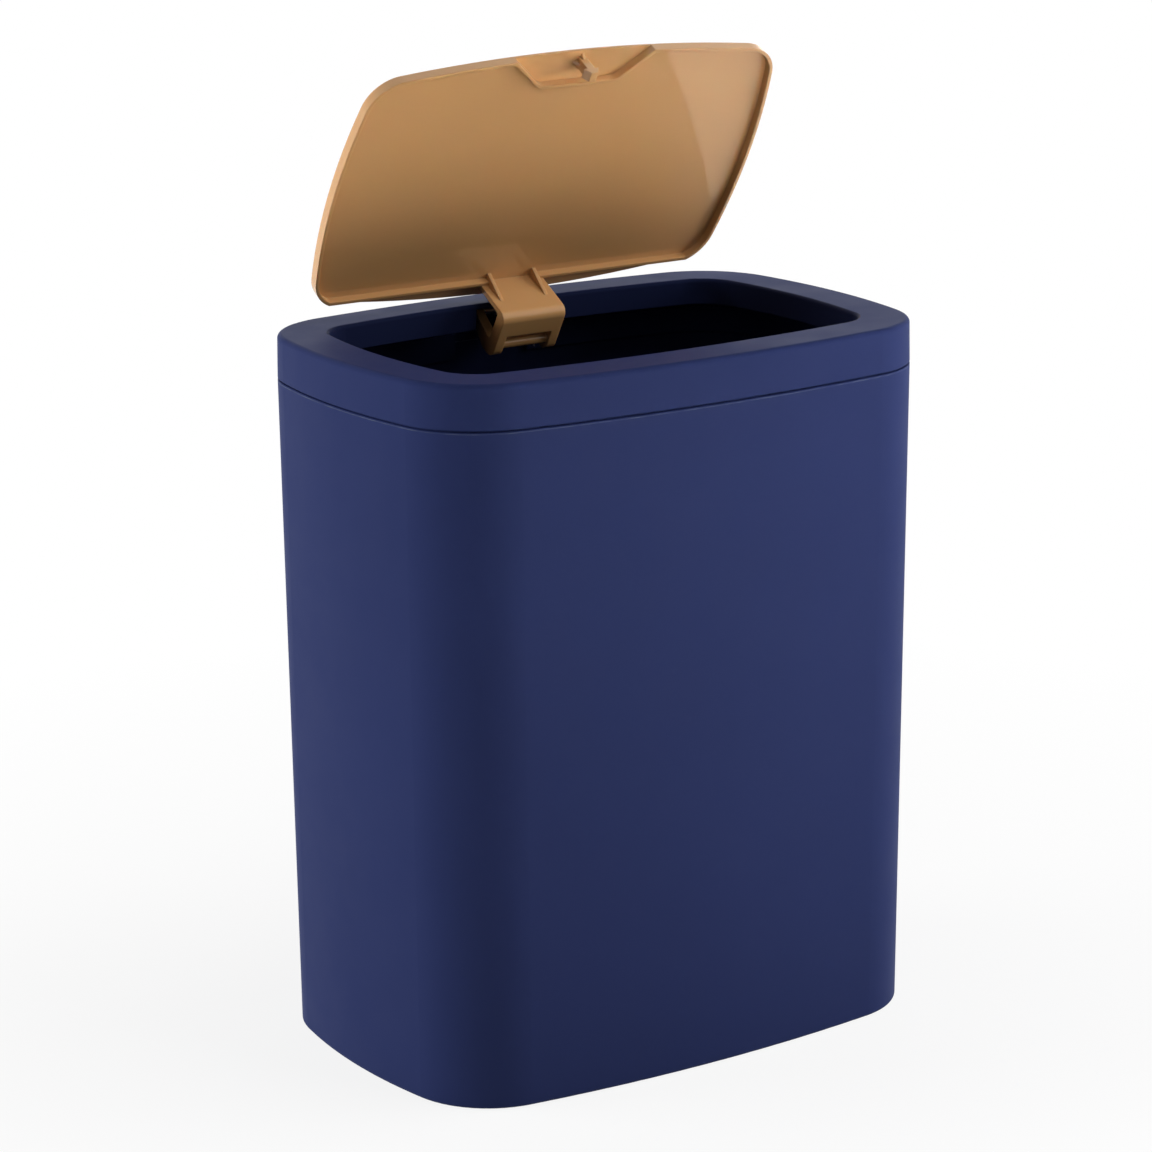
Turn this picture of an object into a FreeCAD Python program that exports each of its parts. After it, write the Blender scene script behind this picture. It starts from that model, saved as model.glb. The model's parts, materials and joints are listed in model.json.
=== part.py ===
"""Slim press-top bathroom bin: bucket, lift-off rim, sprung lid and push latch.

Millimetres. +X runs along the wide front, +Y to the hinge side, +Z up.
The origin is the middle of the base. The lid is built closed, then turned open.
"""
import math
import os

import FreeCAD
import Part

Vec = FreeCAD.Vector
UP = Vec(0, 0, 1)
ACROSS = Vec(1, 0, 0)
BACKWARD = Vec(0, 1, 0)
CUT_PAST = 1.0

# Bucket, measured at its top edge
WIDTH = 251.0
DEPTH = 171.0
CORNER_R = 38.9
SIDE_BOW = 10.5
FRONT_BOW = 9.4
BODY_HEIGHT = 281.2
BASE_INSET_X = 2.2
BASE_INSET_Y = 2.0
BODY_WALL = 2.2
FLOOR_T = 2.4
FOOT_HEIGHT = 3.0
FOOT_WIDTH = 7.0
BASE_ROUND = 1.8
BODY_EDGE_ROUND = 0.6
FLOOR_ROUND = 4.0

# Rim frame that drops into the bucket
RIM_HEIGHT = 18.8
RIM_DRAFT = 0.3
RIM_WALL = 2.2
RIM_TOP_T = 2.2
RIM_ROUND = 2.2
SEAM_GAP = 0.8
SEAM_DEPTH = 1.1
LEDGE_HEIGHT = 3.0
SPIGOT_HEIGHT = 8.0
SPIGOT_T = 1.6
SPIGOT_CLEAR = 0.4

# Mouth of the rim, inside the flat band of its top
BAND_SIDE = 21.5
BAND_FRONT = 22.3
OPENING_CORNER_R = 17.6
OPENING_SIDE_BOW = 6.2
OPENING_FRONT_BOW = 6.9
OPENING_REAR_BULGE = 1.0
MOUTH_ROUND = 1.5
SKIRT_DEPTH = 11.0
SKIRT_T = 1.8

# Lid tray
LID_GAP = 0.5
LID_DROP = 0.4
LID_T = 1.6
LID_ROUND = 1.0
LIP_HEIGHT = 3.3
LIP_T = 1.5
LIP_REAR_INSET = 7.4
POCKET_MOUTH_WIDTH = 70.0
POCKET_BACK_WIDTH = 37.0
POCKET_DEPTH = 14.6
POCKET_CORNER_R = 5.0
OPEN_ANGLE = 60.0

# Hinge
AXIS_BACK = 6.8
AXIS_DROP = 4.8
PIN_D = 2.5
PIN_CLEAR = 0.05
PIN_HEAD_D = 4.4
PIN_HEAD_T = 1.2
CLIP_D = 4.4
CLIP_T = 0.8
LUG_T = 3.5
LUG_DEPTH = 9.0
LUG_REACH = 2.6
LUG_SIDE_GAP = 0.6
END_PLAY = 0.2

# Gooseneck arm of the lid
ARM_WIDTH = 31.2
ARM_DROP = 26.4
STRIP_T = 2.1
CHEEK_T = 4.3
CHEEK_BAR_HEIGHT = 5.4
KNEE_ROUND = 4.0
INNER_ROUND = 1.6
KNEE_LENGTH = 11.5
ARM_LENGTH = 22.8
LIMB_WIDTH = 6.6
LIMB_RISE = 8.0
BOSS_R = 2.3
TIE_BAR_D = 4.4
TIE_BAR_BACK = 5.2
GUSSET_T = 1.7
GUSSET_SPACING = 22.4
GUSSET_REACH = 3.8
GUSSET_DROP = 14.0
NOTCH_SIDE_GAP = 2.6

# Lid spring
LID_WIRE_D = 0.8
LID_COIL_R = 2.05
LID_COIL_PITCH = 1.3
LID_COIL_TURNS = 7
LID_LEG_BACK = 9.0
LID_LEG_PAST = 2.0
WIRE_CLEAR = 0.15

# Push latch and the striker on the lid
LATCH_INSET = 6.2
LATCH_TRAVEL = 3.0
JAW_SPLAY = 12.0
STRIKER_LENGTH = 11.0
STRIKER_NECK_W = 3.6
STRIKER_HEAD_W = 7.2
STRIKER_TIP_W = 3.2
STRIKER_HEAD_H = 3.2
STRIKER_DEPTH = 4.4
STRIKER_RIB_T = 1.3
STRIKER_RIB_SIDE = 2.0
STRIKER_RIB_FRONT = 1.8
STRIKER_RIB_DROP = 5.0
TONGUE_T = 3.5
TONGUE_DROP = 5.7
TONGUE_POCKET_GAP = 3.0
SLOT_WIDTH = 18.4
SLOT_DEPTH = 8.4
JAW_T = 1.8
JAW_DEPTH = 5.8
JAW_HOOK_H = 2.0
JAW_HOOK_GAP = 0.2
JAW_NECK_GAP = 0.3
JAW_HEAD_GAP = 0.5
JAW_ARM_LENGTH = 10.3
JAW_BOSS_R = 1.9
JAW_PIN_D = 2.0
SLIDER_WALL = 1.2
SLIDER_FLOOR_T = 1.6
SLIDER_WIDTH = 15.2
SLIDER_WALL_RISE = 2.6
SLIDER_GAP = 0.2
HOUSING_WALL = 1.2
HOUSING_GAP = 0.4
CAP_T = 2.0
CAP_CLEAR = 0.15
LATCH_WIRE_D = 0.7
LATCH_COIL_R = 3.2
LATCH_COIL_TURNS = 4
LATCH_SPRING_ROOM = 8.6
EAR_LENGTH = 7.8
EAR_T = 2.0
EAR_DEPTH = 8.0
SCREW_D = 2.4
SCREW_LENGTH = 4.6
SCREW_HEAD_D = 4.4
SCREW_HEAD_T = 1.5
SCREW_FROM_END = 3.6
SCREW_HOLE_CLEAR = 0.1
SCREW_TIP_ROOM = 0.3

# Places worked out from the sizes above
OPENING_WIDTH = WIDTH - 2 * BAND_SIDE
OPENING_DEPTH = DEPTH - 2 * BAND_FRONT
RIM_TOP = BODY_HEIGHT + RIM_HEIGHT
RIM_UNDER = RIM_TOP - RIM_TOP_T
REAR_EDGE = OPENING_DEPTH / 2 + OPENING_REAR_BULGE
AXIS_Y = REAR_EDGE + AXIS_BACK
AXIS_Z = RIM_TOP - AXIS_DROP
LID_TOP = RIM_TOP - LID_DROP
PANEL_Z = LID_TOP - LID_T
LIP_Z = PANEL_Z - LIP_HEIGHT
LIP_REAR_Y = REAR_EDGE - LID_GAP - LIP_REAR_INSET
ARM_BOTTOM = RIM_TOP - ARM_DROP
LATCH_Y = LATCH_INSET - OPENING_DEPTH / 2
TONGUE_TOP = RIM_TOP - TONGUE_DROP
TONGUE_UNDER = TONGUE_TOP - TONGUE_T
SHOULDER_Z = PANEL_Z - STRIKER_LENGTH + STRIKER_HEAD_H
JAW_PIVOT_X = STRIKER_HEAD_W / 2 + JAW_HEAD_GAP + JAW_T / 2
JAW_PIVOT_Z = SHOULDER_Z + JAW_HOOK_GAP - JAW_ARM_LENGTH + LATCH_TRAVEL
SLIDER_FLOOR_TOP = JAW_PIVOT_Z - JAW_BOSS_R - SLIDER_GAP
SLIDER_BOTTOM = SLIDER_FLOOR_TOP - SLIDER_FLOOR_T
CAP_TOP = SLIDER_BOTTOM - LATCH_SPRING_ROOM
SLIDER_DEPTH = JAW_DEPTH + 2 * (SLIDER_GAP + SLIDER_WALL)
CAVITY_WIDTH = SLIDER_WIDTH + 2 * HOUSING_GAP
CAVITY_DEPTH = SLIDER_DEPTH + 2 * HOUSING_GAP
HOUSING_WIDTH = CAVITY_WIDTH + 2 * HOUSING_WALL
HOUSING_DEPTH = CAVITY_DEPTH + 2 * HOUSING_WALL
SCREW_X = HOUSING_WIDTH / 2 + EAR_LENGTH - SCREW_FROM_END

BUCKET = (WIDTH / 2, DEPTH / 2, CORNER_R, SIDE_BOW, FRONT_BOW, 0)
MOUTH = (OPENING_WIDTH / 2, OPENING_DEPTH / 2, OPENING_CORNER_R, OPENING_SIDE_BOW, OPENING_FRONT_BOW,
         OPENING_REAR_BULGE)


def outline(shape, inset, z):
    """Rounded rectangle with bowed sides, moved inwards by inset, at height z."""
    half_w, half_d, corner, bow_x, bow_y, bulge = shape
    side_r = ((half_d - bow_y) ** 2 + bow_x ** 2) / (2 * bow_x)
    side_c = Vec(half_w - side_r, 0, z)

    def corner_arc(end_d, end_bow):
        """Corner on the +X +Y side: its end on the side, its middle and its other end."""
        end_r = ((half_w - bow_x) ** 2 + end_bow ** 2) / (2 * end_bow)
        end_c = Vec(0, end_d - end_r, z)
        between = end_c - side_c
        span = between.Length
        along = (span ** 2 + (side_r - corner) ** 2 - (end_r - corner) ** 2) / (2 * span)
        across = math.sqrt((side_r - corner) ** 2 - along ** 2)
        unit = between / span
        middle = side_c + unit * along + Vec(-unit.y, unit.x, 0) * across
        start = side_c + (middle - side_c).normalize() * (side_r - inset)
        end = end_c + (middle - end_c).normalize() * (end_r - inset)
        outward = ((start - middle) + (end - middle)).normalize()
        return start, middle + outward * (corner - inset), end

    rear = corner_arc(half_d + bulge, bow_y + bulge)
    front = [Vec(p.x, -p.y, p.z) for p in corner_arc(half_d, bow_y)]
    left_rear = [Vec(-p.x, p.y, p.z) for p in rear]
    left_front = [Vec(-p.x, p.y, p.z) for p in front]
    arcs = [(front[0], Vec(half_w - inset, 0, z), rear[0]), rear]
    arcs.append((rear[2], Vec(0, half_d + bulge - inset, z), left_rear[2]))
    arcs.append(left_rear[::-1])
    arcs.append((left_rear[0], Vec(inset - half_w, 0, z), left_front[0]))
    arcs.append(left_front)
    arcs.append((left_front[2], Vec(0, inset - half_d, z), front[2]))
    arcs.append(front[::-1])
    return Part.Wire([Part.Arc(*points).toShape() for points in arcs])


def prism(wire, vector):
    return Part.Face(wire).extrude(vector)


def loft(wires):
    return Part.makeLoft(wires, True, True)


def box(x0, x1, y0, y1, z0, z1):
    return Part.makeBox(x1 - x0, y1 - y0, z1 - z0, Vec(x0, y0, z0))


def rod(radius, start, vector):
    return Part.makeCylinder(radius, vector.Length, start, vector)


def tangent_arc(start, corner, end):
    """Arc that leaves start towards corner and arrives at end from it."""
    chord_mid = (start + end) / 2
    half = (end - start).Length / 2
    lean = math.acos(half / (corner - start).Length)
    rise = (corner - chord_mid).normalize() * (half * math.tan(lean / 2))
    return Part.Arc(start, chord_mid + rise, end).toShape()


def rounded_wire(corners):
    """Closed wire through (point, radius) corners, with an arc where the radius isn't zero."""
    count = len(corners)
    ends = []
    for i, (point, radius) in enumerate(corners):
        back = (corners[i - 1][0] - point).normalize()
        ahead = (corners[(i + 1) % count][0] - point).normalize()
        reach = radius / math.tan(back.getAngle(ahead) / 2)
        ends.append((point + back * reach, point, point + ahead * reach, radius))
    edges = []
    for i, (enter, point, leave, radius) in enumerate(ends):
        if radius > 0:
            edges.append(tangent_arc(enter, point, leave))
        edges.append(Part.LineSegment(leave, ends[(i + 1) % count][0]).toShape())
    return Part.Wire(edges)


def edges_at(shape, z):
    return [e for e in shape.Edges if all(abs(v.Z - z) < 1e-4 for v in e.Vertexes)]


def body_section(z, inset):
    """Outline of the tapering bucket at height z."""
    lack = 1 - z / BODY_HEIGHT
    half_w, half_d, *rest = BUCKET
    return outline((half_w - BASE_INSET_X * lack, half_d - BASE_INSET_Y * lack, *rest), inset, z)


def make_body_shell():
    floor_z = FOOT_HEIGHT + FLOOR_T
    outer = loft([body_section(0, 0), body_section(BODY_HEIGHT, 0)])
    outer = outer.makeFillet(BASE_ROUND, edges_at(outer, 0))
    outer = outer.makeFillet(BODY_EDGE_ROUND, edges_at(outer, BODY_HEIGHT))
    cavity = loft([body_section(floor_z, BODY_WALL), body_section(BODY_HEIGHT + CUT_PAST, BODY_WALL)])
    cavity = cavity.makeFillet(FLOOR_ROUND, edges_at(cavity, floor_z))
    recess = prism(outline(BUCKET, BODY_WALL + FOOT_WIDTH, 0), UP * FOOT_HEIGHT)
    return outer.cut(cavity).cut(recess)


def make_rim_top():
    """Skirt wall, flat top and mouth, with the rounds on both edges."""
    outer = loft([outline(BUCKET, 0, BODY_HEIGHT), outline(BUCKET, RIM_DRAFT, RIM_TOP)])
    outer = outer.makeFillet(RIM_ROUND, edges_at(outer, RIM_TOP))
    hollow = prism(outline(BUCKET, RIM_WALL + RIM_DRAFT, BODY_HEIGHT), UP * (RIM_HEIGHT - RIM_TOP_T))
    skirt = prism(outline(MOUTH, -SKIRT_T, RIM_TOP - SKIRT_DEPTH), UP * (SKIRT_DEPTH - RIM_TOP_T / 2))
    mouth = prism(outline(MOUTH, 0, RIM_TOP - SKIRT_DEPTH), UP * SKIRT_DEPTH)
    top = outer.cut(hollow).fuse(skirt).cut(mouth).removeSplitter()
    mouth_size = OPENING_WIDTH / 2 + RIM_ROUND
    mouth_edges = [e for e in edges_at(top, RIM_TOP) if e.BoundBox.XMax < mouth_size]
    mouth_edges = [e for e in mouth_edges if e.BoundBox.XMin > -mouth_size]
    mouth_edges = [e for e in mouth_edges if abs(e.CenterOfMass.y) < REAR_EDGE + MOUTH_ROUND]
    return top.makeFillet(MOUTH_ROUND, mouth_edges)


def make_spigot():
    """Ring that drops inside the bucket wall, with the ledge that joins it to the rim."""
    outer_inset = BODY_WALL + SPIGOT_CLEAR
    inner_inset = outer_inset + SPIGOT_T
    start_z = BODY_HEIGHT - SPIGOT_HEIGHT
    ring = prism(outline(BUCKET, outer_inset, start_z), UP * (SPIGOT_HEIGHT + LEDGE_HEIGHT))
    ledge = prism(outline(BUCKET, RIM_WALL / 2, BODY_HEIGHT), UP * LEDGE_HEIGHT)
    inside = prism(outline(BUCKET, inner_inset, start_z), UP * (SPIGOT_HEIGHT + LEDGE_HEIGHT))
    return ring.fuse(ledge).cut(inside)


def make_lug(side):
    """Hinge lug under the flat top, beside the arm."""
    inner_x = ARM_WIDTH / 2 + LUG_SIDE_GAP
    x0, x1 = sorted((side * inner_x, side * (inner_x + LUG_T)))
    half = LUG_DEPTH / 2
    return box(x0, x1, AXIS_Y - half, AXIS_Y + half, AXIS_Z - LUG_REACH, RIM_UNDER + RIM_TOP_T / 2)


def make_tongue():
    """Trapezoid shelf inside the front of the mouth that carries the latch."""
    front_y = -OPENING_DEPTH / 2 - SKIRT_T / 2
    back_y = -OPENING_DEPTH / 2 + POCKET_DEPTH - TONGUE_POCKET_GAP
    mouth_x = POCKET_MOUTH_WIDTH / 2 - 2 * TONGUE_POCKET_GAP
    back_x = POCKET_BACK_WIDTH / 2 - TONGUE_POCKET_GAP
    corners = [(Vec(mouth_x, front_y, TONGUE_UNDER), 0), (Vec(back_x, back_y, TONGUE_UNDER), POCKET_CORNER_R)]
    corners.append((Vec(-back_x, back_y, TONGUE_UNDER), POCKET_CORNER_R))
    corners.append((Vec(-mouth_x, front_y, TONGUE_UNDER), 0))
    shelf = prism(rounded_wire(corners), UP * TONGUE_T)
    slot = box(-SLOT_WIDTH / 2, SLOT_WIDTH / 2, LATCH_Y - SLOT_DEPTH / 2, LATCH_Y + SLOT_DEPTH / 2,
               TONGUE_UNDER - CUT_PAST, TONGUE_TOP + CUT_PAST)
    return shelf.cut(slot)


def make_rim_frame():
    rim = make_rim_top().fuse(make_spigot())
    seam = prism(outline(BUCKET, -CUT_PAST, BODY_HEIGHT), UP * SEAM_GAP)
    seam = seam.cut(prism(outline(BUCKET, SEAM_DEPTH, BODY_HEIGHT), UP * SEAM_GAP))
    rim = rim.cut(seam)
    notch_x = ARM_WIDTH / 2 + NOTCH_SIDE_GAP
    notch = box(-notch_x, notch_x, LIP_REAR_Y, REAR_EDGE + 2 * SKIRT_T, ARM_BOTTOM, RIM_UNDER)
    rear_wall_y = DEPTH / 2 - RIM_WALL - RIM_DRAFT
    spigot_notch = box(-notch_x, notch_x, AXIS_Y, rear_wall_y, BODY_HEIGHT - SPIGOT_HEIGHT,
                       BODY_HEIGHT + LEDGE_HEIGHT)
    spigot_gap = box(-notch_x, notch_x, AXIS_Y, DEPTH / 2, BODY_HEIGHT - SPIGOT_HEIGHT, BODY_HEIGHT)
    rim = rim.cut(notch).cut(spigot_notch).cut(spigot_gap)
    rim = rim.fuse(make_lug(-1)).fuse(make_lug(1)).fuse(make_tongue())
    pin_hole = rod(PIN_D / 2 + PIN_CLEAR, Vec(-WIDTH / 4, AXIS_Y, AXIS_Z), ACROSS * (WIDTH / 2))
    rim = rim.cut(pin_hole)
    for side in (-1, 1):
        start = Vec(side * SCREW_X, LATCH_Y, TONGUE_UNDER)
        depth = SCREW_LENGTH - EAR_T + SCREW_TIP_ROOM
        rim = rim.cut(rod(SCREW_D / 2, start, UP * depth))
    return rim.removeSplitter()


def make_lip():
    """Lip under the lid plate: straight at the rear, stepping in round the latch pocket."""
    solid = prism(outline(MOUTH, LID_GAP, LIP_Z), UP * LIP_HEIGHT)
    keep = box(-WIDTH, WIDTH, -DEPTH, LIP_REAR_Y, LIP_Z, PANEL_Z)
    front_y = -OPENING_DEPTH / 2
    slope = (POCKET_MOUTH_WIDTH - POCKET_BACK_WIDTH) / 2 / POCKET_DEPTH
    mouth_x = POCKET_MOUTH_WIDTH / 2 + slope * POCKET_DEPTH
    corners = [(Vec(mouth_x, front_y - POCKET_DEPTH, LIP_Z), 0)]
    corners.append((Vec(POCKET_BACK_WIDTH / 2, front_y + POCKET_DEPTH, LIP_Z), POCKET_CORNER_R))
    corners.append((Vec(-POCKET_BACK_WIDTH / 2, front_y + POCKET_DEPTH, LIP_Z), POCKET_CORNER_R))
    corners.append((Vec(-mouth_x, front_y - POCKET_DEPTH, LIP_Z), 0))
    pocket = prism(rounded_wire(corners), UP * LIP_HEIGHT)
    solid = solid.common(keep).cut(pocket).removeSplitter()
    lowest = min(solid.Faces, key=lambda face: face.CenterOfMass.z)
    inner_wire = lowest.OuterWire.makeOffset2D(-LIP_T)
    return solid.cut(prism(inner_wire, UP * LIP_HEIGHT))


def arm_profile(corners, x):
    return rounded_wire([(Vec(x, y, z), radius) for y, z, radius in corners])


def make_arm():
    """Strip down from the rear lip, round the knee and back up to the hinge bosses."""
    half = ARM_WIDTH / 2
    face_y = LIP_REAR_Y
    back_y = face_y + STRIP_T
    bar_top = ARM_BOTTOM + CHEEK_BAR_HEIGHT
    rear_y = face_y + ARM_LENGTH
    strip = [(face_y, PANEL_Z, 0), (face_y, ARM_BOTTOM, KNEE_ROUND), (face_y + KNEE_LENGTH, ARM_BOTTOM, 0)]
    strip += [(face_y + KNEE_LENGTH, ARM_BOTTOM + STRIP_T, 0)]
    strip += [(back_y, ARM_BOTTOM + STRIP_T, INNER_ROUND), (back_y, PANEL_Z, 0)]
    arm = prism(arm_profile(strip, -half), ACROSS * ARM_WIDTH)
    cheek = [(face_y, PANEL_Z, 0), (face_y, ARM_BOTTOM, KNEE_ROUND), (rear_y, ARM_BOTTOM, KNEE_ROUND)]
    cheek += [(rear_y, ARM_BOTTOM + LIMB_RISE, KNEE_ROUND), (AXIS_Y + BOSS_R, AXIS_Z, 0)]
    cheek += [(AXIS_Y - BOSS_R, AXIS_Z, 0), (rear_y - LIMB_WIDTH, bar_top, INNER_ROUND)]
    cheek += [(back_y, bar_top, INNER_ROUND), (back_y, PANEL_Z, 0)]
    for x in (-half, half - CHEEK_T):
        arm = arm.fuse(prism(arm_profile(cheek, x), ACROSS * CHEEK_T))
        arm = arm.fuse(rod(BOSS_R, Vec(x, AXIS_Y, AXIS_Z), ACROSS * CHEEK_T))
    arm = arm.fuse(rod(TIE_BAR_D / 2, Vec(-half, *tie_bar_place()), ACROSS * ARM_WIDTH))
    gusset = [Vec(0, face_y, PANEL_Z), Vec(0, face_y - GUSSET_REACH, PANEL_Z)]
    gusset.append(Vec(0, face_y, PANEL_Z - GUSSET_DROP))
    for side in (-1, 1):
        shift = Vec(side * GUSSET_SPACING / 2 - GUSSET_T / 2, 0, 0)
        wire = Part.makePolygon([p + shift for p in gusset + gusset[:1]])
        arm = arm.fuse(prism(wire, ACROSS * GUSSET_T))
    bore_start = Vec(-half - CUT_PAST, AXIS_Y, AXIS_Z)
    bore = rod(PIN_D / 2 + PIN_CLEAR, bore_start, ACROSS * (ARM_WIDTH + 2 * CUT_PAST))
    return arm.cut(bore)


def tie_bar_place():
    """Y and Z of the bar between the cheeks, with the lid closed."""
    return LIP_REAR_Y + ARM_LENGTH - TIE_BAR_BACK, ARM_BOTTOM + CHEEK_BAR_HEIGHT - TIE_BAR_D / 2


def make_striker():
    """Cross-ribbed post with an arrow head that the latch jaws grip."""
    half_y = STRIKER_DEPTH / 2
    head_top = SHOULDER_Z
    tip_z = PANEL_Z - STRIKER_LENGTH
    neck = STRIKER_NECK_W / 2
    head = STRIKER_HEAD_W / 2
    tip = STRIKER_TIP_W / 2
    right = [(neck, PANEL_Z), (neck, head_top), (head, head_top), (tip, tip_z)]
    points = right + [(-x, z) for x, z in reversed(right)]
    path = [Vec(x, LATCH_Y - half_y, z) for x, z in points + points[:1]]
    post = prism(Part.makePolygon(path), BACKWARD * STRIKER_DEPTH)
    rib_end = PANEL_Z - STRIKER_RIB_DROP
    half_t = STRIKER_RIB_T / 2
    for side in (-1, 1):
        rib_y = LATCH_Y - half_t
        rib_x = side * (neck + STRIKER_RIB_SIDE)
        foot = [Vec(0, rib_y, PANEL_Z), Vec(rib_x, rib_y, PANEL_Z), Vec(0, rib_y, rib_end)]
        post = post.fuse(prism(Part.makePolygon(foot + foot[:1]), BACKWARD * STRIKER_RIB_T))
        end_y = LATCH_Y + side * (half_y + STRIKER_RIB_FRONT)
        foot = [Vec(-half_t, LATCH_Y, PANEL_Z), Vec(-half_t, end_y, PANEL_Z), Vec(-half_t, LATCH_Y, rib_end)]
        post = post.fuse(prism(Part.makePolygon(foot + foot[:1]), ACROSS * STRIKER_RIB_T))
    return post


def make_lid():
    plate = prism(outline(MOUTH, LID_GAP, PANEL_Z), UP * LID_T)
    plate = plate.makeFillet(LID_ROUND, edges_at(plate, LID_TOP))
    lip = make_lip()
    between = GUSSET_SPACING / 2 - GUSSET_T / 2
    lip = lip.cut(box(-between, between, LIP_REAR_Y - LIP_T, LIP_REAR_Y, LIP_Z, PANEL_Z))
    lid = plate.fuse(lip).fuse(make_arm()).fuse(make_striker()).removeSplitter()
    return opened(lid)


def opened(shape):
    """Turn a closed lid piece about the hinge axis to the open position."""
    turned = shape.copy()
    turned.rotate(Vec(0, AXIS_Y, AXIS_Z), ACROSS, -OPEN_ANGLE)
    return turned


def pin_half_length():
    """From the middle of the hinge to the outer faces of the lugs, plus end play."""
    return ARM_WIDTH / 2 + LUG_SIDE_GAP + LUG_T + END_PLAY


def make_hinge_pin():
    end = pin_half_length()
    shank = rod(PIN_D / 2, Vec(-end, AXIS_Y, AXIS_Z), ACROSS * (2 * end + 2 * CLIP_T))
    head = rod(PIN_HEAD_D / 2, Vec(-end - PIN_HEAD_T, AXIS_Y, AXIS_Z), ACROSS * PIN_HEAD_T)
    return shank.fuse(head).removeSplitter()


def make_hinge_clip():
    start = Vec(pin_half_length(), AXIS_Y, AXIS_Z)
    washer = rod(CLIP_D / 2, start, ACROSS * CLIP_T)
    return washer.cut(rod(PIN_D / 2 + PIN_CLEAR, start, ACROSS * CLIP_T))


def biarc(start, start_dir, end, end_dir):
    """Two tangent arcs from start to end with the given directions."""
    gap = end - start
    total = start_dir + end_dir
    bend = 2 * (1 - start_dir.dot(end_dir))
    lead = gap.dot(total)
    reach = (math.sqrt(lead ** 2 + bend * gap.dot(gap)) - lead) / bend
    first = start + start_dir * reach
    second = end - end_dir * reach
    join = (first + second) / 2
    return [tangent_arc(start, first, join), tangent_arc(join, second, end)]


def wind(place, first_angle, last_angle, step):
    """Arcs of a winding: place(angle) gives the point and direction at an angle."""
    pieces = max(1, math.ceil(abs(last_angle - first_angle) / step))
    angles = [first_angle + (last_angle - first_angle) * i / pieces for i in range(pieces + 1)]
    edges = []
    for a, b in zip(angles, angles[1:]):
        edges += biarc(*place(a), *place(b))
    return edges


def sweep_wire(edges, diameter, start, direction):
    """Round wire along a chain of edges that begins at start."""
    profile = Part.Wire([Part.makeCircle(diameter / 2, start, direction)])
    solid = Part.Wire(edges).makePipeShell([profile], True, False)
    return Part.Solid(solid) if solid.ShapeType == "Shell" else solid


def make_lid_spring():
    """Torsion spring round the pin: one leg under the flat top, one on the arm's tie bar."""
    axis = Vec(0, AXIS_Y, AXIS_Z)
    closed_bar = Part.Vertex(Vec(0, *tie_bar_place()))
    bar = opened(closed_bar).Point - axis
    anchor_y = LID_LEG_BACK
    anchor_z = RIM_UNDER - AXIS_Z - LID_WIRE_D / 2 - WIRE_CLEAR
    reach = math.hypot(anchor_y, anchor_z)
    first = math.atan2(anchor_z, anchor_y) - math.acos(LID_COIL_R / reach)
    bar_r = TIE_BAR_D / 2 + LID_WIRE_D / 2 + WIRE_CLEAR
    lean = math.asin((bar_r - LID_COIL_R) / math.hypot(bar.y, bar.z))
    last = math.atan2(bar.z, bar.y) + math.pi / 2 + lean - 2 * math.pi * LID_COIL_TURNS
    last += 2 * math.pi * math.ceil((first - last) / (2 * math.pi) - LID_COIL_TURNS)
    rise = LID_COIL_PITCH / (2 * math.pi)
    middle = (first + last) / 2

    def place(angle):
        out_y = LID_COIL_R * math.cos(angle)
        out_z = LID_COIL_R * math.sin(angle)
        return axis + Vec((middle - angle) * rise, out_y, out_z), Vec(rise, out_z, -out_y).normalize()

    coil_in, dir_in = place(first)
    coil_out, dir_out = place(last)
    leg_in = coil_in - dir_in * math.sqrt(reach ** 2 - LID_COIL_R ** 2)
    leg_out = coil_out + dir_out * (math.hypot(bar.y, bar.z) + LID_LEG_PAST)
    edges = [Part.LineSegment(leg_in, coil_in).toShape()]
    edges += wind(place, first, last, math.pi / 2)
    edges += [Part.LineSegment(coil_out, leg_out).toShape()]
    print("lid spring least gap between turns", round(LID_COIL_PITCH - LID_WIRE_D, 2), "mm")
    return sweep_wire(edges, LID_WIRE_D, leg_in, dir_in)


def make_latch_spring():
    """Compression spring under the latch slider."""
    half_wire = LATCH_WIRE_D / 2
    bottom = CAP_TOP + half_wire + WIRE_CLEAR
    length = LATCH_SPRING_ROOM - LATCH_WIRE_D - 2 * WIRE_CLEAR
    rise = length / (2 * math.pi * LATCH_COIL_TURNS)

    def place(angle):
        out_x = LATCH_COIL_R * math.cos(angle)
        out_y = LATCH_COIL_R * math.sin(angle)
        return Vec(out_x, LATCH_Y + out_y, bottom + rise * angle), Vec(-out_y, out_x, rise).normalize()

    edges = wind(place, 0, 2 * math.pi * LATCH_COIL_TURNS, math.pi / 2)
    print("latch spring least gap between turns", round(2 * math.pi * rise - LATCH_WIRE_D, 2), "mm")
    return sweep_wire(edges, LATCH_WIRE_D, *place(0))


def centred_box(width, depth, z0, z1):
    return box(-width / 2, width / 2, LATCH_Y - depth / 2, LATCH_Y + depth / 2, z0, z1)


def make_latch_housing():
    bottom = CAP_TOP - CAP_T
    block = centred_box(HOUSING_WIDTH, HOUSING_DEPTH, bottom, TONGUE_UNDER)
    ears = centred_box(HOUSING_WIDTH + 2 * EAR_LENGTH, EAR_DEPTH, TONGUE_UNDER - EAR_T, TONGUE_UNDER)
    cavity = centred_box(CAVITY_WIDTH, CAVITY_DEPTH, bottom, TONGUE_UNDER)
    housing = block.fuse(ears).cut(cavity).removeSplitter()
    for side in (-1, 1):
        start = Vec(side * SCREW_X, LATCH_Y, TONGUE_UNDER - EAR_T)
        housing = housing.cut(rod(SCREW_D / 2 + SCREW_HOLE_CLEAR, start, UP * EAR_T))
    return housing


def make_latch_cap():
    clear = 2 * CAP_CLEAR
    return centred_box(CAVITY_WIDTH - clear, CAVITY_DEPTH - clear, CAP_TOP - CAP_T, CAP_TOP)


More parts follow.
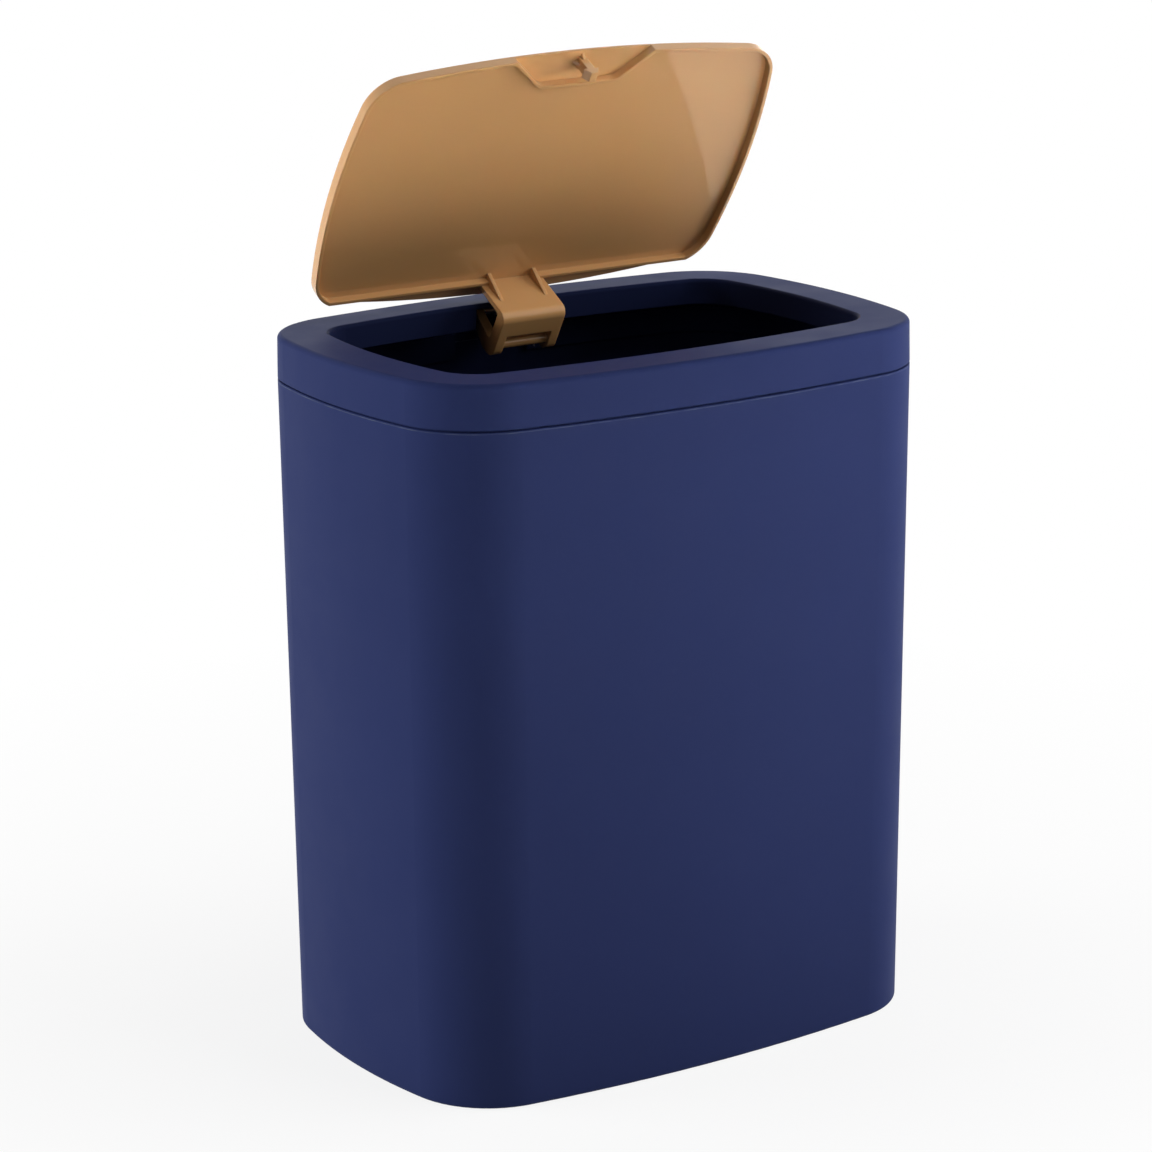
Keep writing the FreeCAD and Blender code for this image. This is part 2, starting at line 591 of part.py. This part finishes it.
def make_latch_slider():
    """Channel that rides in the housing and carries the jaws between its two walls."""
    floor = centred_box(SLIDER_WIDTH, SLIDER_DEPTH, SLIDER_BOTTOM, SLIDER_FLOOR_TOP)
    walls = centred_box(SLIDER_WIDTH, SLIDER_DEPTH, SLIDER_BOTTOM, JAW_PIVOT_Z + SLIDER_WALL_RISE)
    inside = centred_box(SLIDER_WIDTH, SLIDER_DEPTH - 2 * SLIDER_WALL, SLIDER_FLOOR_TOP,
                         JAW_PIVOT_Z + SLIDER_WALL_RISE)
    slider = floor.fuse(walls.cut(inside)).removeSplitter()
    for side in (-1, 1):
        start = Vec(side * JAW_PIVOT_X, LATCH_Y - SLIDER_DEPTH / 2, JAW_PIVOT_Z)
        slider = slider.cut(rod(JAW_PIN_D / 2 + PIN_CLEAR, start, BACKWARD * SLIDER_DEPTH))
    return slider


def make_jaw(side):
    """One gripping jaw, splayed as it stands with the latch sprung up."""
    hook_reach = JAW_PIVOT_X - STRIKER_NECK_W / 2 - JAW_NECK_GAP
    half = JAW_T / 2
    hook_z = JAW_PIVOT_Z + JAW_ARM_LENGTH
    top_z = hook_z + JAW_HOOK_H
    points = [(half, JAW_PIVOT_Z), (half, top_z), (-half, top_z), (-hook_reach, hook_z + JAW_HOOK_H / 2)]
    points += [(-hook_reach, hook_z), (-half, hook_z), (-half, JAW_PIVOT_Z)]
    front_y = LATCH_Y - JAW_DEPTH / 2
    path = [Vec(side * (JAW_PIVOT_X + x), front_y, z) for x, z in points + points[:1]]
    jaw = prism(Part.makePolygon(path), BACKWARD * JAW_DEPTH)
    pivot = Vec(side * JAW_PIVOT_X, front_y, JAW_PIVOT_Z)
    jaw = jaw.fuse(rod(JAW_BOSS_R, pivot, BACKWARD * JAW_DEPTH))
    jaw = jaw.cut(rod(JAW_PIN_D / 2 + PIN_CLEAR, pivot, BACKWARD * JAW_DEPTH)).removeSplitter()
    jaw.rotate(pivot, BACKWARD, side * JAW_SPLAY)
    return jaw


def make_jaw_pins():
    pins = []
    for side in (-1, 1):
        start = Vec(side * JAW_PIVOT_X, LATCH_Y - SLIDER_DEPTH / 2, JAW_PIVOT_Z)
        pins.append(rod(JAW_PIN_D / 2, start, BACKWARD * SLIDER_DEPTH))
    return Part.makeCompound(pins)


def make_latch_screws():
    screws = []
    for side in (-1, 1):
        under = Vec(side * SCREW_X, LATCH_Y, TONGUE_UNDER - EAR_T)
        shank = rod(SCREW_D / 2 - PIN_CLEAR, under, UP * SCREW_LENGTH)
        head = rod(SCREW_HEAD_D / 2, under - UP * SCREW_HEAD_T, UP * SCREW_HEAD_T)
        screws.append(shank.fuse(head).removeSplitter())
    return Part.makeCompound(screws)


def main():
    os.makedirs("parts", exist_ok=True)
    nodes = {
        "body_shell": make_body_shell(),
        "rim_frame": make_rim_frame(),
        "lid": make_lid(),
        "hinge_pin": make_hinge_pin(),
        "hinge_clip": make_hinge_clip(),
        "lid_spring": make_lid_spring(),
        "latch_housing": make_latch_housing(),
        "latch_cap": make_latch_cap(),
        "latch_slider": make_latch_slider(),
        "latch_jaw_left": make_jaw(-1),
        "latch_jaw_right": make_jaw(1),
        "latch_jaw_pins": make_jaw_pins(),
        "latch_spring": make_latch_spring(),
        "latch_screws": make_latch_screws(),
    }
    for name, shape in nodes.items():
        shape.exportStep("parts/" + name + ".step")
        print(name, len(shape.Solids), "solids", round(shape.Volume, 1), "mm3, valid:", shape.isValid())


main()
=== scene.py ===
"""Looks of the press-top bathroom bin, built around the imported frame."""
import json
import math

import bpy
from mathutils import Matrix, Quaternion, Vector


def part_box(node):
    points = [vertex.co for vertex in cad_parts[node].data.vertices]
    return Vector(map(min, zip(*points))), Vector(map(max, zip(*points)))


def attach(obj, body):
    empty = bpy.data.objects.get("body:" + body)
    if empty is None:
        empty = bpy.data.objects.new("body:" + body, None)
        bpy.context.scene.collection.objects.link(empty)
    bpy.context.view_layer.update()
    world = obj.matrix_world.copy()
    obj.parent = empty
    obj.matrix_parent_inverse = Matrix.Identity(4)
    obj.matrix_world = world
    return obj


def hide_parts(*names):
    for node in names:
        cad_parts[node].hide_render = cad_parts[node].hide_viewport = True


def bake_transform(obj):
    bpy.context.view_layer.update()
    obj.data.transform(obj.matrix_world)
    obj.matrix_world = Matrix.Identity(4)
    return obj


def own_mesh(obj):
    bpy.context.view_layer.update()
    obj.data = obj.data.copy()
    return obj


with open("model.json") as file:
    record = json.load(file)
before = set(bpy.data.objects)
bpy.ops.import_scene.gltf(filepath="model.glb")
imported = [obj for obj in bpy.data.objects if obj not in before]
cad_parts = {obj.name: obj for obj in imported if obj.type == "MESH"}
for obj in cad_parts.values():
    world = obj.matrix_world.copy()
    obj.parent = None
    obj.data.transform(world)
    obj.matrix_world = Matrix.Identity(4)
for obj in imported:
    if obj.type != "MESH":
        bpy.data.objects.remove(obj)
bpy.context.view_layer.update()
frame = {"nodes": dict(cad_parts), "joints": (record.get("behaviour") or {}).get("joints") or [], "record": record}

# Camera, solved from the photo: place in metres, angles in degrees, lens and sensor in millimetres
CAMERA_PLACE = (-0.87866, -1.31462, 0.61555)
CAMERA_AZIMUTH = -33.433
CAMERA_ELEVATION = 14.9945
CAMERA_ROLL = -0.514
CAMERA_LENS = 121.636
SENSOR_WIDTH = 36
CLIP_NEAR = 0.05
CLIP_FAR = 60

# Colours, linear
NAVY = (0.020, 0.029, 0.096, 1)
CARAMEL = (0.6, 0.325, 0.13, 1)
LATCH_GREY = (0.03, 0.03, 0.035, 1)
STEEL = (0.6, 0.6, 0.62, 1)
HIGHLIGHT_COLOUR = (0.085, 0.105, 0.15, 1)
WHITE = (1, 1, 1, 1)

# Studio: the world's light, and a floor that turns plain white between two distances in metres
WORLD_LEVEL = 0.12
FLOOR_HALF = 12.0
FLOOR_COLOUR = (0.9, 0.9, 0.9, 1)
FLOOR_ROUGHNESS = 0.9
SHADOW_NEAR = 0.15
SHADOW_FAR = 0.6
SHADOW_LIFT = 0.85

# Painted shade on walls that face the inside: share of the colour left there, where a point's place from the
# middle
# times its normal is below zero: the values, in metres, at which the shade is full and begins
INSIDE_SHADE = 0.4
INSIDE_FULL = -0.04
INSIDE_START = -0.01

# Painted shade on the arm's limbs: share of the colour left there, and where the shade lies from the hinge axis,
# in metres
HINGE_SHADE = 0.15
LIMB_START = 0.019
LIMB_FULL = 0.009
LIMB_TOP_FULL = 0.0013
LIMB_TOP_END = 0.0033

# Painted highlight: a pale line on the bucket, its lower and upper border below the top edge, in metres
HIGHLIGHT_LOW = 0.0009
HIGHLIGHT_HIGH = 0.0005
HIGHLIGHT_BLUR = 0.0001
HIGHLIGHT_LEAST = 0.1

# Surface detail: soft edges and grain in metres, the noises in repeats to the metre
NAVY_EDGE = 0.0004
NAVY_GRAIN = 0.0006
CARAMEL_EDGE = 0.0008
CARAMEL_GRAIN = 0.0008
EDGE_SAMPLES = 6
MOTTLE_SCALE = 9.0
PATCH_SCALE = 45.0
BREAK_SCALE = 150.0
STREAK_SCALE = 900.0
ROUGH_SWING = 0.04


def joint(name):
    return next(j for j in frame["joints"] if j["name"] == name)


def set_camera():
    data = bpy.data.cameras.new("camera")
    data.sensor_width = SENSOR_WIDTH
    data.lens = CAMERA_LENS
    data.clip_start = CLIP_NEAR
    data.clip_end = CLIP_FAR
    camera = bpy.data.objects.new("camera", data)
    bpy.context.scene.collection.objects.link(camera)
    az = math.radians(CAMERA_AZIMUTH)
    el = math.radians(CAMERA_ELEVATION)
    back = Vector((math.sin(az) * math.cos(el), -math.cos(az) * math.cos(el), math.sin(el)))
    camera.location = CAMERA_PLACE
    camera.rotation_mode = "QUATERNION"
    level = (-back).to_track_quat("-Z", "Y")
    camera.rotation_quaternion = level @ Quaternion((0, 0, 1), math.radians(CAMERA_ROLL))
    bpy.context.scene.camera = camera


def new_material(name):
    material = bpy.data.materials.new(name)
    material.use_nodes = True
    nodes = material.node_tree.nodes
    return material, nodes, material.node_tree.links, nodes["Principled BSDF"]


def noise(nodes, links, coords, scale, detail=2.0, roughness=0.5):
    node = nodes.new("ShaderNodeTexNoise")
    node.inputs["Scale"].default_value = scale
    node.inputs["Detail"].default_value = detail
    node.inputs["Roughness"].default_value = roughness
    links.new(coords, node.inputs["Vector"])
    return node.outputs["Fac"]


def mapped(nodes, links, value, low, high, from_low=0.3, from_high=0.7):
    """Value moved from one range to another. The default range is where most of a noise lies."""
    node = nodes.new("ShaderNodeMapRange")
    node.inputs["From Min"].default_value = from_low
    node.inputs["From Max"].default_value = from_high
    node.inputs["To Min"].default_value = low
    node.inputs["To Max"].default_value = high
    links.new(value, node.inputs["Value"])
    return node.outputs["Result"]


def times(nodes, links, a, b):
    node = nodes.new("ShaderNodeMath")
    node.operation = "MULTIPLY"
    links.new(a, node.inputs[0])
    links.new(b, node.inputs[1])
    return node.outputs[0]


def split_axes(nodes, links, coords):
    """Outputs X, Y and Z of a point."""
    split = nodes.new("ShaderNodeSeparateXYZ")
    links.new(coords, split.inputs["Vector"])
    return split.outputs


def tinted(nodes, links, colour, factor):
    """Colour times a varying factor."""
    node = nodes.new("ShaderNodeMix")
    node.data_type = "RGBA"
    node.blend_type = "MULTIPLY"
    node.inputs["Factor"].default_value = 1
    node.inputs["A"].default_value = colour
    links.new(factor, node.inputs["B"])
    return node.outputs["Result"]


def soft_edges(nodes, links, height, relief, radius):
    """Normal with edges rounded off and a fine grain on top."""
    bevel = nodes.new("ShaderNodeBevel")
    bevel.samples = EDGE_SAMPLES
    bevel.inputs["Radius"].default_value = radius
    bump = nodes.new("ShaderNodeBump")
    bump.inputs["Strength"].default_value = 1
    bump.inputs["Distance"].default_value = relief
    links.new(height, bump.inputs["Height"])
    links.new(bevel.outputs["Normal"], bump.inputs["Normal"])
    return bump.outputs["Normal"]


def inside_shade(nodes, links, coords):
    """Painted shade: factor that darkens the walls that face the middle of the bin."""
    flat = nodes.new("ShaderNodeVectorMath")
    flat.operation = "MULTIPLY"
    flat.inputs[1].default_value = (1, 1, 0)
    links.new(coords, flat.inputs[0])
    outward = nodes.new("ShaderNodeVectorMath")
    outward.operation = "DOT_PRODUCT"
    links.new(flat.outputs["Vector"], outward.inputs[0])
    links.new(nodes.new("ShaderNodeTexCoord").outputs["Normal"], outward.inputs[1])
    return mapped(nodes, links, outward.outputs["Value"], INSIDE_SHADE, 1, INSIDE_FULL, INSIDE_START)


def hinge_shade(nodes, links, coords):
    """Painted shade: factor that darkens the limbs of the arm behind its legs, under the rim."""
    _, y, z = joint("lid_hinge")["pos_m"]
    axes = split_axes(nodes, links, coords)
    behind = mapped(nodes, links, axes["Y"], 0, 1, y - LIMB_START, y - LIMB_FULL)
    under = mapped(nodes, links, axes["Z"], 1, 0, z + LIMB_TOP_FULL, z + LIMB_TOP_END)
    return mapped(nodes, links, times(nodes, links, behind, under), 1, HINGE_SHADE, 0, 1)


def painted_edge_highlight(nodes, links, coords, colour):
    """Colour with a painted highlight, a broken pale line along the top edge of the bucket."""
    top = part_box("body_shell")[1][2]
    height = split_axes(nodes, links, coords)["Z"]
    above = mapped(nodes, links, height, 0, 1, top - HIGHLIGHT_LOW, top - HIGHLIGHT_LOW + HIGHLIGHT_BLUR)
    below = mapped(nodes, links, height, 1, 0, top - HIGHLIGHT_HIGH - HIGHLIGHT_BLUR, top - HIGHLIGHT_HIGH)
    breaks = mapped(nodes, links, noise(nodes, links, coords, BREAK_SCALE, 3.0), HIGHLIGHT_LEAST, 1)
    mix = nodes.new("ShaderNodeMix")
    mix.data_type = "RGBA"
    links.new(times(nodes, links, times(nodes, links, above, below), breaks), mix.inputs["Factor"])
    links.new(colour, mix.inputs["A"])
    mix.inputs["B"].default_value = HIGHLIGHT_COLOUR
    return mix.outputs["Result"]


def moulded_plastic(name, colour, rough, relief, grain, edge, mottle, specular, shading=None, painted_highlight=None):
    """Plastic with a broad mottle, uneven roughness, fine grain and soft edges."""
    material, nodes, links, shader = new_material(name)
    coords = nodes.new("ShaderNodeTexCoord").outputs["Object"]
    broad = noise(nodes, links, coords, MOTTLE_SCALE, 3.0)
    shade = mapped(nodes, links, broad, 1 - mottle, 1 + mottle)
    # Painted shade, if a shading factor is given
    if shading:
        shade = times(nodes, links, shade, shading(nodes, links, coords))
    tint = tinted(nodes, links, colour, shade)
    # Painted highlight, if given
    if painted_highlight:
        tint = painted_highlight(nodes, links, coords, tint)
    links.new(tint, shader.inputs["Base Color"])
    patches = noise(nodes, links, coords, PATCH_SCALE, 4.0, 0.6)
    uneven = mapped(nodes, links, patches, rough - ROUGH_SWING, rough + ROUGH_SWING)
    links.new(uneven, shader.inputs["Roughness"])
    fine = noise(nodes, links, coords, 1 / grain, 1.0)
    links.new(soft_edges(nodes, links, fine, relief, edge), shader.inputs["Normal"])
    shader.inputs["Specular IOR Level"].default_value = specular
    return material


def navy_plastic(name, painted_highlight=None):
    # Painted shade on walls that face the inside, and a painted highlight if given
    return moulded_plastic(
        name, NAVY, rough=0.6, relief=0.000004, grain=NAVY_GRAIN, edge=NAVY_EDGE,
        mottle=0.03, specular=0.05, shading=inside_shade, painted_highlight=painted_highlight)


def latch_plastic():
    return moulded_plastic(
        "latch_plastic", LATCH_GREY, rough=0.5, relief=0.000012, grain=NAVY_GRAIN, edge=NAVY_EDGE,
        mottle=0.03, specular=0.4)


def caramel_plastic():
    """Glossy plastic that lets a little light in at its thin edges."""
    # Painted shade on the arm's limbs beside the hinge
    material = moulded_plastic(
        "caramel_plastic", CARAMEL, rough=0.45, relief=0.000002, grain=CARAMEL_GRAIN, edge=CARAMEL_EDGE,
        mottle=0.02, specular=0.3, shading=hinge_shade)
    shader = material.node_tree.nodes["Principled BSDF"]
    shader.inputs["Coat Weight"].default_value = 0.85
    shader.inputs["Coat Roughness"].default_value = 0.05
    shader.inputs["Coat IOR"].default_value = 1.5
    shader.inputs["Subsurface Weight"].default_value = 0.15
    shader.inputs["Subsurface Radius"].default_value = (1, 0.35, 0.12)
    shader.inputs["Subsurface Scale"].default_value = 0.001
    return material


def drawn_steel():
    material, nodes, links, shader = new_material("drawn_steel")
    coords = nodes.new("ShaderNodeTexCoord").outputs["Object"]
    streaks = noise(nodes, links, coords, STREAK_SCALE, 2.0)
    tint = tinted(nodes, links, STEEL, mapped(nodes, links, streaks, 0.85, 1.05))
    links.new(tint, shader.inputs["Base Color"])
    links.new(mapped(nodes, links, streaks, 0.25, 0.4), shader.inputs["Roughness"])
    shader.inputs["Metallic"].default_value = 1
    return material


def seen_plainly(nodes, links):
    """1 for what the camera sees directly, in a reflection or through something clear."""
    rays = nodes.new("ShaderNodeLightPath")
    seen = rays.outputs["Is Camera Ray"]
    for kind in ("Is Glossy Ray", "Is Transmission Ray"):
        either = nodes.new("ShaderNodeMath")
        either.operation = "MAXIMUM"
        links.new(seen, either.inputs[0])
        links.new(rays.outputs[kind], either.inputs[1])
        seen = either.outputs[0]
    return seen


def set_world():
    world = bpy.data.worlds.new("studio")
    bpy.context.scene.world = world
    world.use_nodes = True
    nodes = world.node_tree.nodes
    links = world.node_tree.links
    background = nodes["Background"]
    background.inputs["Color"].default_value = WHITE
    level = mapped(nodes, links, seen_plainly(nodes, links), WORLD_LEVEL, 1.0, 0.0, 1.0)
    links.new(level, background.inputs["Strength"])


def set_floor():
    """White floor that keeps the shadow near the bin and is plain white further out."""
    half = FLOOR_HALF
    corners = [(-half, -half, 0), (half, -half, 0), (half, half, 0), (-half, half, 0)]
    mesh = bpy.data.meshes.new("floor")
    mesh.from_pydata(corners, [], [(0, 1, 2, 3)])
    floor = bpy.data.objects.new("floor", mesh)
    bpy.context.scene.collection.objects.link(floor)
    material, nodes, links, shader = new_material("floor")
    shader.inputs["Base Color"].default_value = FLOOR_COLOUR
    shader.inputs["Roughness"].default_value = FLOOR_ROUGHNESS
    shader.inputs["Specular IOR Level"].default_value = 0
    white = nodes.new("ShaderNodeEmission")
    distance = nodes.new("ShaderNodeVectorMath")
    distance.operation = "LENGTH"
    links.new(nodes.new("ShaderNodeTexCoord").outputs["Object"], distance.inputs[0])
    lift = mapped(nodes, links, distance.outputs["Value"], SHADOW_LIFT, 1.0, SHADOW_NEAR, SHADOW_FAR)
    mix = nodes.new("ShaderNodeMixShader")
    links.new(times(nodes, links, seen_plainly(nodes, links), lift), mix.inputs["Fac"])
    links.new(shader.outputs["BSDF"], mix.inputs[1])
    links.new(white.outputs["Emission"], mix.inputs[2])
    links.new(mix.outputs["Shader"], nodes["Material Output"].inputs["Surface"])
    mesh.materials.append(material)


def softbox(name, place, target, width, height, power, spread=180, mirrored=False):
    """Rectangular lamp: metres, watts and degrees. It shows in reflections only if mirrored."""
    data = bpy.data.lights.new(name, "AREA")
    data.spread = math.radians(spread)
    data.shape = "RECTANGLE"
    data.size = width
    data.size_y = height
    data.energy = power
    light = bpy.data.objects.new(name, data)
    bpy.context.scene.collection.objects.link(light)
    light.location = place
    aim = Vector(target) - Vector(place)
    light.rotation_mode = "QUATERNION"
    light.rotation_quaternion = aim.to_track_quat("-Z", "Y")
    light.visible_glossy = mirrored


def set_lights():
    softbox("left_box", (-1.65, 0.95, 0.45), (0, 0, 0.15), width=1.2, height=0.9, power=35)
    softbox("right_box", (1.8, -0.7, 0.7), (0, 0, 0.2), width=1.3, height=1.0, power=33)
    softbox("floor_box", (0.55, -1.1, 1.4), (0.55, -1.1, 0), width=1.3, height=0.9, power=29, spread=40)
    softbox("top_box", (0.6, -1.0, 2.0), (0, 0, 0.3), width=0.8, height=0.8, power=13)
    softbox("rear_box", (1.1, 1.7, 0.75), (0, 0, 0.3), width=1.6, height=1.0, power=6, mirrored=True)


def dress():
    """Give every node of the frame the material of its slot, with a painted highlight along the bucket's top edge.
    """
    finish = {
        "navy_plastic": navy_plastic("navy_plastic"),
        "champagne_plastic": caramel_plastic(),
        "latch_plastic": latch_plastic(),
        "steel": drawn_steel(),
    }
    for part in frame["record"]["subparts"]:
        mesh = frame["nodes"][part["node"]].data
        mesh.materials.clear()
        mesh.materials.append(finish[part["material_slot"]])
    bucket = frame["nodes"]["body_shell"].data
    # Painted highlight: a pale line along the bucket's top edge
    bucket.materials[0] = navy_plastic("bucket_plastic", painted_edge_highlight)


def loose_spring(node):
    """Copy of a spring with a mesh of its own, in place of the rigid one, which is hidden."""
    spring = bpy.data.objects.new(node + "_coil", frame["nodes"][node].data.copy())
    bpy.context.scene.collection.objects.link(spring)
    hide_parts(node)
    return spring


def set_springs():
    """Put copies in place of the lid's spring, which twists with the hinge, and the latch's spring, which shortens
    under its slider; the latch's copy rides with the rim.
    """
    twisted = loose_spring("lid_spring")
    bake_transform(twisted)
    pressed = loose_spring("latch_spring")
    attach(pressed, "rim")
    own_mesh(pressed)


set_camera()
set_world()
set_floor()
set_lights()
dress()
set_springs()
bpy.context.scene.view_settings.view_transform = "Standard"
